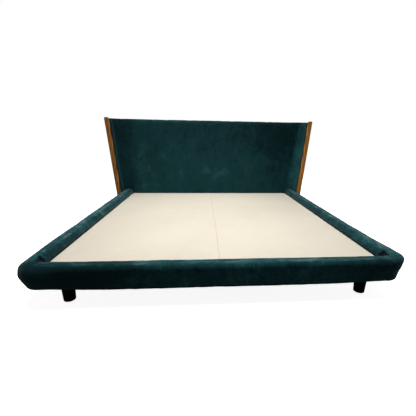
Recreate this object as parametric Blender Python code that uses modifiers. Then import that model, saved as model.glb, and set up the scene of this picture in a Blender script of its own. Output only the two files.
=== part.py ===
"""King-size upholstered platform bed: padded rails on short legs, two lift-out deck panels,
and a winged headboard whose wings lean outwards and carry a wooden trim on their front edges.

Metres, +Z up, +Y towards the headboard. The origin is on the floor, under the middle of the bed.
"""
import math

import bmesh
import bpy
from mathutils import Matrix, Vector

# Driving dimensions: the mattress sets the bed, and everything else is set out around its recess.
MATTRESS_WIDTH = 1.930
MATTRESS_LENGTH = 2.030
MATTRESS_EASE = 0.005
DECK_TOP = 0.190
RAIL_TOP = 0.247
RAIL_BOTTOM = 0.101
RAIL_PAD_WIDTH = 0.100
HEADBOARD_TOP = 1.070
HEADBOARD_DEPTH = 0.115
WING_REACH = 0.210
WING_THICKNESS = 0.045
WING_LEAN = 0.0775
GAP = 0.0003

# The recess that holds the mattress, and the overall length that centres the bed on its origin.
RECESS_X = MATTRESS_WIDTH / 2 + MATTRESS_EASE
RECESS_LENGTH = MATTRESS_LENGTH + 2 * MATTRESS_EASE
OVERALL_LENGTH = RECESS_LENGTH + RAIL_PAD_WIDTH + HEADBOARD_DEPTH
FACE_Y = OVERALL_LENGTH / 2 - HEADBOARD_DEPTH
FOOT_Y = FACE_Y - RECESS_LENGTH
BACK_Y = FACE_Y + HEADBOARD_DEPTH

# Padded rails: u runs outwards from the recess, z up.
CREST_U = 0.0985
BULGE_HEIGHT = 0.178
RAIL_FOOT_U = 0.076
INNER_SHOULDER = 0.042
OUTER_SHOULDER = 0.038
LIP_BOTTOM = 0.160
CORE_U = 0.014
CORE_THICKNESS = 0.025
CORE_BOTTOM = 0.1045
CORE_TOP = 0.215
MITRE_STEPS = 6

# Headboard layers, counted back from its velvet face.
PAD_DEPTH = 0.040
PLY_DEPTH = 0.012
FRAME_DEPTH = 0.048
CAP_HEIGHT = 0.018
HEADBOARD_BOTTOM = RAIL_BOTTOM
PLY_Y = FACE_Y + PAD_DEPTH + GAP
FRAME_Y = PLY_Y + PLY_DEPTH + GAP
FRAME_BACK = FRAME_Y + FRAME_DEPTH
FRAME_TOP = HEADBOARD_TOP - CAP_HEIGHT
FRAME_BOTTOM = HEADBOARD_BOTTOM + 0.0005
FRAME_TIMBER = 0.060
TOP_RAIL_HEIGHT = 0.090
BOTTOM_RAIL_HEIGHT = 0.140
STUD_X = 0.350

# Wings: x is stated at LEAN_ZERO, and the lean carries it outwards above that height.
LEAN_ZERO = 0.250
WING_X = 1.0665
COVE_RADIUS = 0.100
COVE_START_X = WING_X - COVE_RADIUS - 0.030
WING_PAD_DEPTH = 0.014
WING_BOARD_THICKNESS = 0.018
WING_OUTSIDE_X = WING_X + WING_PAD_DEPTH + WING_BOARD_THICKNESS + 2 * GAP
WING_OUT_X = WING_X + WING_THICKNESS
TRIM_DEPTH = 0.036
TRIM_FRONT_Y = FACE_Y - WING_REACH
TRIM_BACK_Y = TRIM_FRONT_Y + TRIM_DEPTH
TRIM_TOP = HEADBOARD_TOP + 0.008
TRIM_BEVEL = 0.013

# Deck, slats, ledgers and centre beam, stacked below the deck top.
DECK_THICKNESS = 0.0215
DECK_EASE = 0.002
SLAT_THICKNESS = 0.019
SLAT_WIDTH = 0.090
SLAT_COUNT = 4
SLAT_BASE = DECK_TOP - DECK_THICKNESS - GAP - SLAT_THICKNESS
LEDGER_TOP = SLAT_BASE - GAP
LEDGER_HEIGHT = 0.036
LEDGER_WIDTH = 0.041
BEAM_WIDTH = 0.070
BEAM_BASE = LEDGER_TOP - LEDGER_HEIGHT

# Legs and feet.
FRONT_LEG_X = 0.840
FRONT_LEG_Y = FOOT_Y - 0.006
REAR_LEG_X = 0.930
REAR_LEG_Y = FRAME_Y + FRAME_DEPTH / 2
LEG_TOP_RADIUS = 0.035
LEG_FOOT_RADIUS = 0.031
LEG_TOP = RAIL_BOTTOM - GAP
GLIDE_HEIGHT = 0.004
GLIDE_RADIUS = 0.022
BOLT_RADIUS = 0.004
BOLT_CLEARANCE = 0.0004
CENTER_LEG_WIDTH = 0.050
CENTER_LEG_BASE = 0.0178
CENTER_LEG_SPACING = 0.680
STEM_RADIUS = 0.004
STEM_TOP = 0.060

# Knock-down hardware.
PLATE_THICKNESS = 0.0027
HOOK_BASE = 0.105
HOOK_TOP = 0.155
BRACKET_LEG = 0.066
BRACKET_THICKNESS = 0.003

COLOURS = {
    "velvet": ((0.012, 0.065, 0.072), 0.85, 0.0),
    "walnut": ((0.230, 0.105, 0.035), 0.45, 0.0),
    "deck_cloth": ((0.780, 0.720, 0.600), 0.90, 0.0),
    "pine": ((0.620, 0.440, 0.250), 0.60, 0.0),
    "plywood": ((0.560, 0.400, 0.240), 0.65, 0.0),
    "black_wood": ((0.008, 0.008, 0.008), 0.45, 0.0),
    "steel": ((0.450, 0.450, 0.460), 0.35, 1.0),
    "nylon": ((0.030, 0.030, 0.032), 0.50, 0.0),
}


def clear_scene():
    for old in list(bpy.data.objects):
        bpy.data.objects.remove(old)


def new_collection(name):
    made = bpy.data.collections.new(name)
    bpy.context.scene.collection.children.link(made)
    return made


def make_materials():
    made = {}
    for name, (colour, roughness, metallic) in COLOURS.items():
        material = bpy.data.materials.new(name)
        material.use_nodes = True
        shader = material.node_tree.nodes["Principled BSDF"]
        shader.inputs["Base Color"].default_value = (*colour, 1.0)
        shader.inputs["Roughness"].default_value = roughness
        shader.inputs["Metallic"].default_value = metallic
        made[name] = material
    return made


clear_scene()
BED = new_collection("upholstered_bed")
CUTTERS = new_collection("cutters")
MATERIALS = make_materials()


# --- shared modelling helpers -------------------------------------------------------------


def place_object(name, mesh, finish):
    """A mesh as a named part of the bed, with its material."""
    obj = bpy.data.objects.new(name, mesh)
    BED.objects.link(obj)
    obj.data.materials.append(MATERIALS[finish])
    return obj


def as_cutter(obj):
    """Moves an object to the cutters, where it shows as a wire and isn't built."""
    BED.objects.unlink(obj)
    CUTTERS.objects.link(obj)
    obj.hide_render = True
    obj.display_type = "WIRE"
    return obj


def cut(obj, cutter):
    modifier = obj.modifiers.new("cut_" + cutter.name, "BOOLEAN")
    modifier.operation = "DIFFERENCE"
    modifier.object = cutter


def bevel(obj, width, segments=2):
    modifier = obj.modifiers.new("rounded_edges", "BEVEL")
    modifier.width = width
    modifier.segments = segments
    modifier.limit_method = "ANGLE"
    modifier.angle_limit = math.radians(40)


def lean_outwards(mesh, place=(0, 0, 0)):
    """Carries each side's points outwards in proportion to their height, as the wings lean.
    place is where the mesh's own origin stands in the bed."""
    for vertex in mesh.vertices:
        where = vertex.co + Vector(place)
        side = 1 if where.x > 0 else -1
        vertex.co.x += side * WING_LEAN * (where.z - LEAN_ZERO)


def box(name, low, high, finish, leaning=False):
    """A block between two corners, with its origin at its middle."""
    low, high = Vector(low), Vector(high)
    middle = (low + high) / 2
    bm = bmesh.new()
    bmesh.ops.create_cube(bm, size=1.0)
    bmesh.ops.scale(bm, vec=high - low, verts=bm.verts)
    mesh = bpy.data.meshes.new(name)
    bm.to_mesh(mesh)
    bm.free()
    if leaning:
        lean_outwards(mesh, middle)
    obj = place_object(name, mesh, finish)
    obj.location = middle
    return obj


def filleted(corners, steps=6):
    """Points of a closed outline from its corners (a, b, fillet radius)."""
    points = []
    for i, (a, b, radius) in enumerate(corners):
        here = Vector((a, b))
        before = (Vector(corners[i - 1][:2]) - here).normalized()
        after = (Vector(corners[(i + 1) % len(corners)][:2]) - here).normalized()
        if radius == 0:
            points.append(here)
            continue
        half = before.angle(after) / 2
        centre = here + (before + after).normalized() * (radius / math.sin(half))
        start = here + before * (radius / math.tan(half)) - centre
        end = here + after * (radius / math.tan(half)) - centre
        turn = start.angle_signed(end)
        for step in range(steps + 1):
            angle = -turn * step / steps
            points.append(centre + Matrix.Rotation(angle, 2) @ start)
    return points


def outline_mesh(name, points, thickness):
    """The mesh of a flat outline, filled and extruded by thickness about its own plane."""
    curve = bpy.data.curves.new(name + "_outline", "CURVE")
    curve.dimensions = "2D"
    curve.fill_mode = "BOTH"
    curve.extrude = thickness / 2
    spline = curve.splines.new("POLY")
    spline.points.add(len(points) - 1)
    for place, (a, b) in zip(spline.points, points):
        place.co = (a, b, 0, 1)
    spline.use_cyclic_u = True
    source = bpy.data.objects.new(name + "_outline", curve)
    BED.objects.link(source)
    graph = bpy.context.evaluated_depsgraph_get()
    mesh = bpy.data.meshes.new_from_object(source.evaluated_get(graph))
    bpy.data.objects.remove(source)
    mesh.name = name
    bm = bmesh.new()
    bm.from_mesh(mesh)
    bmesh.ops.remove_doubles(bm, verts=bm.verts, dist=1e-5)
    bmesh.ops.recalc_face_normals(bm, faces=bm.faces)
    bm.to_mesh(mesh)
    bm.free()
    return mesh


def plan_solid(name, points, z_low, z_high, finish, leaning=False):
    """A plan outline (x, y) raised from z_low to z_high."""
    mesh = outline_mesh(name, points, z_high - z_low)
    mesh.transform(Matrix.Translation((0, 0, (z_low + z_high) / 2)))
    if leaning:
        lean_outwards(mesh)
    return place_object(name, mesh, finish)


def side_solid(name, points, x_low, x_high, finish, leaning=False):
    """A side outline (y, z) stretched from x_low to x_high."""
    mesh = outline_mesh(name, points, x_high - x_low)
    across = Matrix(((0, 0, 1, (x_low + x_high) / 2), (1, 0, 0, 0), (0, 1, 0, 0), (0, 0, 0, 1)))
    mesh.transform(across)
    if leaning:
        lean_outwards(mesh)
    return place_object(name, mesh, finish)


def turned(name, profile, place, finish, axis_turn=None, steps=24):
    """A turned piece: a profile of (radius, height), top to bottom, spun about its own Z."""
    bm = bmesh.new()
    points = [bm.verts.new((radius, 0, height)) for radius, height in profile]
    for upper, lower in zip(points, points[1:]):
        bm.edges.new((upper, lower))
    mesh = bpy.data.meshes.new(name)
    bm.to_mesh(mesh)
    bm.free()
    obj = place_object(name, mesh, finish)
    obj.location = place
    if axis_turn:
        obj.rotation_euler = axis_turn
    screw = obj.modifiers.new("turned", "SCREW")
    screw.steps = screw.render_steps = steps
    screw.use_merge_vertices = True
    screw.merge_threshold = 0.00001
    return obj


def mirrored_name(stem, side):
    return f"{stem}_{'left' if side < 0 else 'right'}"


def mirrored_points(points, side):
    """A plan outline on the right as it is, or carried to the left."""
    return [(side * x, y) for x, y in points]


# --- padded rails --------------------------------------------------------------------------


def rail_pad_outline():
    """Section of a padded rail (u, z): foam and velvet that hook over the core board."""
    core_in = CORE_U - GAP
    core_out = CORE_U + CORE_THICKNESS + GAP
    core_top = CORE_TOP + GAP
    return filleted([
        (0.0, LIP_BOTTOM, 0),
        (0.0, RAIL_TOP, INNER_SHOULDER),
        (CREST_U, RAIL_TOP, OUTER_SHOULDER),
        (RAIL_PAD_WIDTH, BULGE_HEIGHT, 0.025),
        (RAIL_FOOT_U, RAIL_BOTTOM, 0.018),
        (core_out, RAIL_BOTTOM, 0),
        (core_out, core_top, 0),
        (core_in, core_top, 0),
        (core_in, LIP_BOTTOM, 0),
    ])


def turn_end(bm, end_faces, axis_point, angle):
    """Carries an end of a rail pad round a vertical axis, to the mitre."""
    step = Matrix.Rotation(angle / MITRE_STEPS, 3, "Z")
    for _ in range(MITRE_STEPS):
        made = bmesh.ops.extrude_face_region(bm, geom=end_faces)["geom"]
        old_faces = [face for face in end_faces if face.is_valid]
        bmesh.ops.delete(bm, geom=old_faces, context="FACES_ONLY")
        end_faces = [part for part in made if isinstance(part, bmesh.types.BMFace)]
        points = [part for part in made if isinstance(part, bmesh.types.BMVert)]
        bmesh.ops.rotate(bm, verts=points, cent=axis_point, matrix=step)


def rail_pad_mesh(name, length, turned_ends):
    """A rail pad along +X from 0 to length, its outside towards -Y, with each end named in
    turned_ends carried round by 45 degrees about the recess corner."""
    section = outline_mesh(name + "_section", rail_pad_outline(), length)
    stand = Matrix(((0, 0, 1, length / 2), (-1, 0, 0, 0), (0, 1, 0, 0), (0, 0, 0, 1)))
    section.transform(stand)
    bm = bmesh.new()
    bm.from_mesh(section)
    for end_x in turned_ends:
        faces = [
            face for face in bm.faces
            if all(abs(vert.co.x - end_x) < 1e-6 for vert in face.verts)
        ]
        quarter = math.pi / 4 if end_x > 0 else -math.pi / 4
        turn_end(bm, faces, (end_x, 0, 0), quarter)
    bmesh.ops.remove_doubles(bm, verts=bm.verts, dist=1e-6)
    bmesh.ops.recalc_face_normals(bm, faces=bm.faces)
    mesh = bpy.data.meshes.new(name)
    bm.to_mesh(mesh)
    bm.free()
    return mesh


def make_foot_rail():
    half = RECESS_X
    mesh = rail_pad_mesh("foot_rail_pad", 2 * half, (0.0, 2 * half))
    mesh.transform(Matrix.Translation((-half, FOOT_Y - GAP, 0)))
    place_object("foot_rail_pad", mesh, "velvet")
    core = box(
        "foot_rail",
        (-half, FOOT_Y - CORE_U - CORE_THICKNESS, CORE_BOTTOM),
        (half, FOOT_Y - CORE_U - 2 * GAP, CORE_TOP),
        "pine",
    )
    return core


def make_side_rail(side, cove_cutter):
    """One side rail: its pad, cut to the cove of the wing, and its core board."""
    name = mirrored_name("side_rail", side)
    mesh = rail_pad_mesh(name + "_pad", RECESS_LENGTH - GAP, (0.0,))
    # The pad is made for the left side, running from the foot towards the headboard.
    to_side = Matrix.Rotation(math.radians(90), 4, "Z") @ Matrix.Scale(-1, 4, (0, 1, 0))
    mesh.transform(to_side)
    mesh.transform(Matrix.Translation((-RECESS_X, FOOT_Y, 0)))
    if side > 0:
        mesh.transform(Matrix.Scale(-1, 4, (1, 0, 0)))
        mesh.flip_normals()
    mesh.flip_normals()
    pad = place_object(mirrored_name("side_rail_pad", side), mesh, "velvet")
    cut(pad, cove_cutter)
    inner = RECESS_X + CORE_U
    low_x, high_x = sorted((side * inner, side * (inner + CORE_THICKNESS)))
    return box(
        name,
        (low_x, FOOT_Y, CORE_BOTTOM),
        (high_x, PLY_Y - PLATE_THICKNESS - 2 * GAP, CORE_TOP),
        "pine",
    )


# --- headboard -----------------------------------------------------------------------------


def wing_plan(front_y, grow=0.0):
    """Plan of the right wing at LEAN_ZERO, from front_y back: the cove and all behind it."""
    x, face, outside = WING_X - grow, FACE_Y - grow, WING_OUT_X + 4 * grow
    return filleted([
        (COVE_START_X, face, 0),
        (x, face, COVE_RADIUS - grow),
        (x, front_y, 0),
        (outside, front_y, 0),
        (outside, FRAME_BACK, 0),
        (COVE_START_X, FRAME_BACK, 0),
    ], steps=12)


def make_cove_cutter(side):
    """The wing and its trim, a little larger, for trimming the end of the side rail's pad."""
    cutter = plan_solid(
        mirrored_name("cove_cutter", side),
        mirrored_points(wing_plan(TRIM_FRONT_Y - 0.0005, grow=0.0005), side),
        0.0, HEADBOARD_TOP, "velvet", leaning=True,
    )
    return as_cutter(cutter)


def make_wing_pad(side):
    """Inner padding of a wing, from the cove to the trim, with a cap over the wing's top."""
    pad = plan_solid(
        mirrored_name("wing_pad", side), mirrored_points(wing_plan(TRIM_BACK_Y + GAP), side),
        HEADBOARD_BOTTOM, HEADBOARD_TOP, "velvet", leaning=True,
    )
    beyond = 0.050
    board_x = WING_X + WING_PAD_DEPTH
    backing_y = FACE_Y + PAD_DEPTH
    behind = [
        (COVE_START_X - beyond, backing_y),
        (board_x, backing_y),
        (board_x, TRIM_BACK_Y - beyond),
        (WING_OUT_X + beyond, TRIM_BACK_Y - beyond),
        (WING_OUT_X + beyond, BACK_Y + beyond),
        (COVE_START_X - beyond, BACK_Y + beyond),
    ]
    hollow = plan_solid(
        mirrored_name("wing_hollow", side), mirrored_points(behind, side),
        0.0, FRAME_TOP + GAP, "velvet", leaning=True,
    )
    cut(pad, as_cutter(hollow))
    notch_in, notch_out = RECESS_X + 0.004, RECESS_X + CORE_U + CORE_THICKNESS + 0.006
    low_x, high_x = sorted((side * notch_in, side * notch_out))
    notch = box(
        mirrored_name("rail_notch", side),
        (low_x, FACE_Y - beyond, 0.0), (high_x, PLY_Y + beyond, CORE_TOP + 0.0035), "velvet",
    )
    cut(pad, as_cutter(notch))


def make_wing(side):
    """The wing's plywood board, its padded outside and the wooden trim on its front edge."""
    board_x = WING_X + WING_PAD_DEPTH + GAP
    low_x, high_x = sorted((side * board_x, side * (board_x + WING_BOARD_THICKNESS)))
    box(
        mirrored_name("wing_board", side),
        (low_x, TRIM_BACK_Y + GAP, HEADBOARD_BOTTOM),
        (high_x, FRAME_BACK, FRAME_TOP), "plywood", leaning=True,
    )
    low_x, high_x = sorted((side * WING_OUTSIDE_X, side * WING_OUT_X))
    outside = box(
        mirrored_name("wing_outside", side),
        (low_x, TRIM_BACK_Y + GAP, HEADBOARD_BOTTOM),
        (high_x, FRAME_BACK, FRAME_TOP), "velvet", leaning=True,
    )
    bevel(outside, 0.003)
    low_x, high_x = sorted((side * WING_X, side * (WING_OUT_X + 0.001)))
    trim = box(
        mirrored_name("wing_trim", side),
        (low_x, TRIM_FRONT_Y, HEADBOARD_BOTTOM),
        (high_x, TRIM_BACK_Y, TRIM_TOP), "walnut", leaning=True,
    )
    bevel(trim, TRIM_BEVEL, segments=4)


def make_headboard_pad():
    """The long pad between the wings, with its cap over the top of the frame."""
    half = COVE_START_X - GAP
    side_solid(
        "headboard_pad",
        filleted([
            (FACE_Y, LIP_BOTTOM, 0),
            (FACE_Y + PAD_DEPTH, LIP_BOTTOM, 0),
            (FACE_Y + PAD_DEPTH, FRAME_TOP + GAP, 0),
            (FRAME_BACK, FRAME_TOP + GAP, 0),
            (FRAME_BACK, HEADBOARD_TOP, 0.004),
            (FACE_Y, HEADBOARD_TOP, 0.012),
        ], steps=4),
        -half, half, "velvet", leaning=True,
    )


def make_headboard_frame():
    """Plywood facing, timber frame and the padded back. Returns the pieces that get cut."""
    inside = WING_X + WING_PAD_DEPTH - GAP
    facing = box(
        "headboard_facing", (-inside, PLY_Y, FRAME_BOTTOM),
        (inside, PLY_Y + PLY_DEPTH, FRAME_TOP), "plywood", leaning=True,
    )
    stile_x = inside - FRAME_TIMBER
    for side in (-1, 1):
        low_x, high_x = sorted((side * stile_x, side * inside))
        box(
            mirrored_name("headboard_stile", side), (low_x, FRAME_Y, FRAME_BOTTOM),
            (high_x, FRAME_BACK, FRAME_TOP), "pine", leaning=True,
        )
        box(
            mirrored_name("headboard_stud", side),
            (side * STUD_X - FRAME_TIMBER / 2, FRAME_Y, FRAME_BOTTOM + BOTTOM_RAIL_HEIGHT + GAP),
            (side * STUD_X + FRAME_TIMBER / 2, FRAME_BACK, FRAME_TOP - TOP_RAIL_HEIGHT - GAP),
            "pine",
        )
    between = stile_x - GAP
    box(
        "headboard_top_rail", (-between, FRAME_Y, FRAME_TOP - TOP_RAIL_HEIGHT),
        (between, FRAME_BACK, FRAME_TOP), "pine", leaning=True,
    )
    bottom_rail = box(
        "headboard_bottom_rail", (-between, FRAME_Y, FRAME_BOTTOM),
        (between, FRAME_BACK, FRAME_BOTTOM + BOTTOM_RAIL_HEIGHT), "pine", leaning=True,
    )
    back = box(
        "headboard_back_cover", (-WING_OUT_X, FRAME_BACK + GAP, HEADBOARD_BOTTOM),
        (WING_OUT_X, BACK_Y, HEADBOARD_TOP), "velvet", leaning=True,
    )
    bevel(back, 0.005)
    return facing, bottom_rail


# --- deck and what carries it --------------------------------------------------------------


def make_ledgers():
    """Cleats round the recess, under the slats, and the beam down the middle."""
    base = LEDGER_TOP - LEDGER_HEIGHT
    outer_x = RECESS_X + CORE_U - 2 * GAP
    for side in (-1, 1):
        low_x, high_x = sorted((side * (outer_x - LEDGER_WIDTH), side * outer_x))
        box(
            mirrored_name("side_ledger", side),
            (low_x, FOOT_Y + 0.075, base), (high_x, FACE_Y - 0.100, LEDGER_TOP), "pine",
        )
    foot_in = FOOT_Y + 0.028
    box(
        "foot_ledger", (-0.770, FOOT_Y - CORE_U + 2 * GAP, base),
        (0.770, foot_in, LEDGER_TOP), "pine",
    )
    head_in = FACE_Y - 0.030
    box("head_ledger", (-0.920, head_in, base), (0.920, FACE_Y + PAD_DEPTH, LEDGER_TOP), "pine")
    box(
        "center_beam", (-BEAM_WIDTH / 2, foot_in + GAP, BEAM_BASE),
        (BEAM_WIDTH / 2, head_in - GAP, LEDGER_TOP), "pine",
    )


def make_slats():
    reach = RECESS_X - DECK_EASE
    for number in range(1, SLAT_COUNT + 1):
        middle = FOOT_Y + RECESS_LENGTH * (number - 0.5) / SLAT_COUNT
        slat = box(
            f"cross_slat_{number}",
            (-reach, middle - SLAT_WIDTH / 2, SLAT_BASE),
            (reach, middle + SLAT_WIDTH / 2, SLAT_BASE + SLAT_THICKNESS), "pine",
        )
        bevel(slat, 0.002, segments=1)


def make_deck_panels():
    for side in (-1, 1):
        low_x, high_x = sorted((side * 0.001, side * (RECESS_X - DECK_EASE)))
        panel = box(
            mirrored_name("deck_panel", side),
            (low_x, FOOT_Y + DECK_EASE, DECK_TOP - DECK_THICKNESS),
            (high_x, FACE_Y - DECK_EASE, DECK_TOP), "deck_cloth",
        )
        bevel(panel, 0.005)


# --- legs, feet and hardware ---------------------------------------------------------------


def make_round_leg(name, x, y):
    """A round tapered leg with eased ends."""
    base, ease = GLIDE_HEIGHT + GAP, 0.0015
    return turned(
        name,
        [(0, LEG_TOP), (LEG_TOP_RADIUS - ease, LEG_TOP), (LEG_TOP_RADIUS, LEG_TOP - ease),
         (LEG_FOOT_RADIUS, base + ease), (LEG_FOOT_RADIUS - ease, base), (0, base)],
        (x, y, 0), "black_wood", steps=32,
    )


def hanger_bolt(name, x, y, top):
    """A threaded bolt that holds a leg, half in the leg and half in the timber above it."""
    base = 0.045
    middle = LEG_TOP
    turned(
        name, [(0, top), (BOLT_RADIUS, top), (BOLT_RADIUS, middle), (BOLT_RADIUS, base), (0, base)],
        (x, y, 0), "steel", steps=16,
    )
    bore = BOLT_RADIUS + BOLT_CLEARANCE
    over = 0.001
    hole = turned(
        name + "_hole", [(0, top + over), (bore, top + over), (bore, base - over), (0, base - over)],
        (x, y, 0), "steel", steps=16,
    )
    return as_cutter(hole)


def make_glide(name, x, y):
    turned(
        name,
        [(0, GLIDE_HEIGHT), (GLIDE_RADIUS, GLIDE_HEIGHT), (GLIDE_RADIUS, 0.001),
         (GLIDE_RADIUS - 0.001, 0), (0, 0)],
        (x, y, 0), "nylon",
    )


def make_corner_legs(bottom_rail):
    """Two front legs on blocks behind the foot rail and two rear legs under the headboard."""
    for side in (-1, 1):
        x, y = side * FRONT_LEG_X, FRONT_LEG_Y
        leg = make_round_leg(mirrored_name("front_leg", side), x, y)
        block = box(
            mirrored_name("leg_block", side),
            (x - 0.055, FOOT_Y - CORE_U + 2 * GAP, RAIL_BOTTOM + 0.0005),
            (x + 0.055, FOOT_Y + 0.060, LEDGER_TOP), "pine",
        )
        hole = hanger_bolt(mirrored_name("front_leg_bolt", side), x, y + 0.008, 0.140)
        cut(leg, hole)
        cut(block, hole)
        make_glide(mirrored_name("front_leg_glide", side), x, y)

        x, y = side * REAR_LEG_X, REAR_LEG_Y
        leg = make_round_leg(mirrored_name("rear_leg", side), x, y)
        hole = hanger_bolt(mirrored_name("rear_leg_bolt", side), x, y, 0.150)
        cut(leg, hole)
        cut(bottom_rail, hole)
        make_glide(mirrored_name("rear_leg_glide", side), x, y)


def make_center_legs():
    """Legs under the centre beam, each on a foot that screws down to meet the floor."""
    half = CENTER_LEG_WIDTH / 2
    middle = FOOT_Y + RECESS_LENGTH / 2
    for number, offset in ((1, -CENTER_LEG_SPACING / 2), (2, CENTER_LEG_SPACING / 2)):
        y = middle + offset
        leg = box(
            f"center_leg_{number}", (-half, y - half, CENTER_LEG_BASE),
            (half, y + half, BEAM_BASE - GAP), "black_wood",
        )
        bevel(leg, 0.004)
        bore = STEM_RADIUS + 0.0006
        hole = turned(
            f"stem_hole_{number}",
            [(0, STEM_TOP + 0.006), (bore, STEM_TOP + 0.006), (bore, 0.010), (0, 0.010)],
            (0, y, 0), "steel", steps=16,
        )
        cut(leg, as_cutter(hole))
        turned(
            f"leveling_foot_{number}",
            [(0, STEM_TOP), (STEM_RADIUS, STEM_TOP), (STEM_RADIUS, 0.0175), (0.0085, 0.0175),
             (0.0085, 0.0085), (0.0190, 0.0060), (0.0190, 0.0015), (0.0175, 0), (0, 0)],
            (0, y, 0), "steel", steps=20,
        )


def make_rail_hooks(side, facing):
    """The hook on the end of a side rail and the slotted plate on the headboard that takes it."""
    core_x = RECESS_X + CORE_U
    plate_back = PLY_Y - GAP
    plate_front = plate_back - PLATE_THICKNESS
    hook_depth = PLY_Y + 0.009
    hook_points, slots = [(FACE_Y - 0.085, HOOK_BASE)], []
    tab_height, tab_drop = 0.013, 0.005
    for tab_base in (HOOK_BASE + 0.006, HOOK_BASE + 0.030):
        hook_points += [
            (plate_front - 0.004, tab_base - 0.006 if not slots else tab_base - 0.003),
            (plate_front - 0.004, tab_base),
            (plate_back + 0.0012, tab_base),
            (plate_back + 0.0012, tab_base - tab_drop),
            (hook_depth, tab_base - tab_drop),
            (hook_depth, tab_base + tab_height),
            (plate_front - 0.004, tab_base + tab_height),
        ]
        slots.append((tab_base - tab_drop - 0.001, tab_base + tab_height + 0.001))
    hook_points += [(plate_front - 0.004, HOOK_TOP), (FACE_Y - 0.085, HOOK_TOP)]
    low_x, high_x = sorted((side * (core_x - GAP - 0.0025), side * (core_x - GAP)))
    side_solid(mirrored_name("rail_hook", side), hook_points, low_x, high_x, "steel")

    low_x, high_x = sorted((side * (core_x - 0.0055), side * (core_x + CORE_THICKNESS + 0.003)))
    plate = box(
        mirrored_name("hook_plate", side), (low_x, plate_front, HOOK_BASE - 0.004),
        (high_x, plate_back, CORE_TOP - 0.003), "steel",
    )
    low_x, high_x = sorted((side * (core_x - 0.0042), side * (core_x + 0.0010)))
    for number, (z_low, z_high) in enumerate(slots):
        slot = box(
            f"{mirrored_name('hook_slot', side)}_{number}",
            (low_x, plate_front - 0.002, z_low), (high_x, plate_back + 0.002, z_high), "steel",
        )
        cut(plate, as_cutter(slot))
    pocket = box(
        mirrored_name("hook_pocket", side), (low_x, PLY_Y - 0.002, slots[0][0]),
        (high_x, PLY_Y + PLY_DEPTH + 0.002, slots[1][1]), "steel",
    )
    cut(facing, as_cutter(pocket))


def make_corner_bracket(side):
    """A steel angle inside a front corner, tying the side rail's core to the foot rail's."""
    x = RECESS_X + CORE_U - GAP
    y = FOOT_Y - CORE_U + GAP
    plan = [
        (x, y), (x, y + BRACKET_LEG), (x - BRACKET_THICKNESS, y + BRACKET_LEG),
        (x - BRACKET_THICKNESS, y + BRACKET_THICKNESS),
        (x - BRACKET_LEG, y + BRACKET_THICKNESS), (x - BRACKET_LEG, y),
    ]
    plan_solid(
        mirrored_name("corner_bracket", side), mirrored_points(plan, side),
        0.108, LEDGER_TOP, "steel",
    )


def build():
    facing, bottom_rail = make_headboard_frame()
    make_headboard_pad()
    make_foot_rail()
    for side in (-1, 1):
        make_wing(side)
        make_wing_pad(side)
        make_side_rail(side, make_cove_cutter(side))
        make_rail_hooks(side, facing)
        make_corner_bracket(side)
    make_ledgers()
    make_slats()
    make_deck_panels()
    make_corner_legs(bottom_rail)
    make_center_legs()


build()
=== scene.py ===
"""Looks of the king-size upholstered bed: velvet, deck cloth, walnut and a plain studio.

Metres, in the bed's own frame: +Z up, +Y towards the headboard, the floor at z = 0.
"""

import math

import bmesh
import bpy
import numpy as np
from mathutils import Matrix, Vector, noise


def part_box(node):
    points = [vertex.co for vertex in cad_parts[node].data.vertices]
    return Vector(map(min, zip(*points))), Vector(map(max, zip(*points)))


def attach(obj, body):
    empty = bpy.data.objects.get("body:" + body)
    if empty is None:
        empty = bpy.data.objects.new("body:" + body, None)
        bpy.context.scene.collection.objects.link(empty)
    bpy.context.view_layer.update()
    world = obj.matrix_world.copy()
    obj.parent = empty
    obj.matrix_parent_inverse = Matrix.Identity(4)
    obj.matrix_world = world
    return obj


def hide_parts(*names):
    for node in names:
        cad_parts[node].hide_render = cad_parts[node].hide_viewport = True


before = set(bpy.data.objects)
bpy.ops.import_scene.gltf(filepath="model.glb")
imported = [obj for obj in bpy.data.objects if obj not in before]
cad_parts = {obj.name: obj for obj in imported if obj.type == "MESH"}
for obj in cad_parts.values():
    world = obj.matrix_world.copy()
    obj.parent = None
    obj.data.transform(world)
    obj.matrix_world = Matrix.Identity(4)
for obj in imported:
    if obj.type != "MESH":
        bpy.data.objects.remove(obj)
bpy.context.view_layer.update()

# --- places, read from the frame ------------------------------------------------------------

RAIL_LOW, RAIL_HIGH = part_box("side_rail_pad_right")
CORE_LOW, CORE_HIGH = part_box("side_rail_right")
PANEL_LOW, PANEL_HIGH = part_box("headboard_pad")
BOARD_LOW, BOARD_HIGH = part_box("wing_board_right")
OUTSIDE_LOW, OUTSIDE_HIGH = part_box("wing_outside_right")
TRIM_LOW, TRIM_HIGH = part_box("wing_trim_right")
BACK_LOW, BACK_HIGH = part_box("headboard_back_cover")
DECK_LOW, DECK_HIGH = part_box("deck_panel_right")

SIDES = {-1: "left", 1: "right"}
GAP = 0.0004
RECESS_X = RAIL_LOW.x
FACE_Y = PANEL_LOW.y
FOOT_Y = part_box("foot_rail_pad")[1].y
RAIL_TOP, RAIL_BOTTOM = RAIL_HIGH.z, RAIL_LOW.z
RAIL_WIDTH = RAIL_HIGH.x - RAIL_LOW.x
CORE_IN = CORE_LOW.x - RECESS_X - GAP
CORE_OUT = CORE_HIGH.x - RECESS_X + GAP
CORE_TOP = CORE_HIGH.z + GAP
FRAME_TOP = BOARD_HIGH.z + GAP
FRAME_BACK = PANEL_HIGH.y
HEAD_TOP = PANEL_HIGH.z
PANEL_BOTTOM = PANEL_LOW.z
WING_BOTTOM = BOARD_LOW.z

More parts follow.
